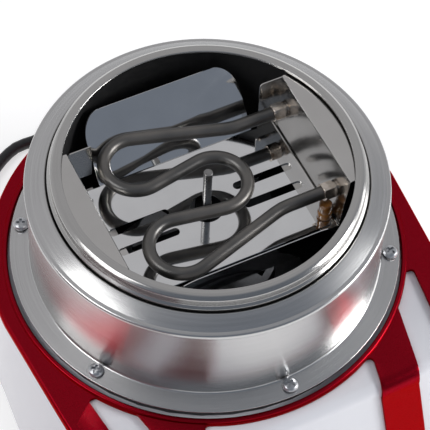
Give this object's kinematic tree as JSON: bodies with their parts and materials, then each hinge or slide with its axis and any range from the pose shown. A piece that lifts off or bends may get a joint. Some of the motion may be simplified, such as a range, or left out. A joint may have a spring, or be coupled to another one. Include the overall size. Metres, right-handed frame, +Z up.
{
  "type": "popcorn maker base",
  "caption": "Popcorn maker base: a red cover with front straps over a white body, a spun steel collar, and an open well with a serpentine heater over a mirror reflector.",
  "frame": {"origin": "on the table, under the middle of the machine's own box with the cord and plug left out", "axes": "+X to the machine's right seen from its front, +Y to its back, +Z up; the collar, heater well and motor shaft stand on a vertical axis at y = 4.0 mm"},
  "size_m": [0.316, 0.3477, 0.148],
  "materials": {
    "red_enamel": "glossy metallic dark red, moulded and lacquered",
    "white_plastic": "glossy white moulded plastic",
    "spun_steel": "satin spun stainless steel, ring grain",
    "black_steel": "heat-proof satin black",
    "mirror_steel": "mirror-polished stainless sheet",
    "heater_steel": "dark satin heater sheath",
    "nickel": "nickel-plated brass, slightly warm",
    "zinc": "bright zinc-plated steel",
    "amber_ceramic": "glazed amber insulator",
    "black_plastic": "fine-grained black plastic",
    "core_steel": "stacked electrical steel",
    "copper_wire": "enamelled copper winding",
    "bronze": "oil-filled sintered bronze",
    "rubber": "matt black rubber",
    "cord_black": "smooth black cord jacket and moulded plug",
    "brass_blade": "nickel-plated brass blades"
  },
  "bodies": {
    "root": {"red_cover": "red_enamel", "white_body": "white_plastic", "collar": "spun_steel", "lip_ring": "spun_steel", "drum": "black_steel", "spacer_ring": "white_plastic", "collar_screw_1": "zinc", "collar_screw_2": "zinc", "collar_screw_3": "zinc", "collar_screw_4": "zinc", "collar_screw_5": "zinc", "collar_screw_6": "zinc", "left_reflector": "mirror_steel", "right_reflector": "mirror_steel", "reflector_floor": "mirror_steel", "rear_mirror": "mirror_steel", "front_mirror": "mirror_steel", "heater_tube": "heater_steel", "rear_ferrule": "nickel", "front_ferrule": "nickel", "rear_terminal": "nickel", "front_terminal": "nickel", "insulator_sleeve": "amber_ceramic", "thermostat": "black_plastic", "motor_stator": "core_steel", "upper_winding": "copper_wire", "lower_winding": "copper_wire", "motor_top_cover": "zinc", "motor_bottom_cover": "zinc", "upper_bush": "bronze", "lower_bush": "bronze", "motor_mount": "zinc", "mount_screw_1": "zinc", "mount_screw_2": "zinc", "mount_screw_3": "zinc", "base_plate": "black_plastic", "front_left_foot": "rubber", "front_right_foot": "rubber", "rear_right_foot": "rubber", "rear_left_foot": "rubber", "switch_bezel": "black_plastic", "terminal_block": "white_plastic", "strain_relief": "cord_black", "power_cord": "cord_black", "cord_coil": "cord_black", "cord_tail": "cord_black", "plug_body": "cord_black", "plug_blade_1": "brass_blade", "plug_blade_2": "brass_blade"},
    "fan_shaft": {"motor_shaft": "zinc", "cooling_fan": "black_plastic", "motor_rotor": "core_steel"},
    "power_rocker": {"rocker": "black_plastic"}
  },
  "joints": [
    {"name": "fan_spin", "type": "hinge", "parent": "root", "child": "fan_shaft", "pos_m": [0, 0.00403, 0.05], "axis": [0, 0, 1], "continuous": true},
    {"name": "power_switch", "type": "hinge", "parent": "root", "child": "power_rocker", "pos_m": [0, -0.11925, 0.036], "axis": [1, 0, 0], "range_deg": [-14, 0]}
  ]
}
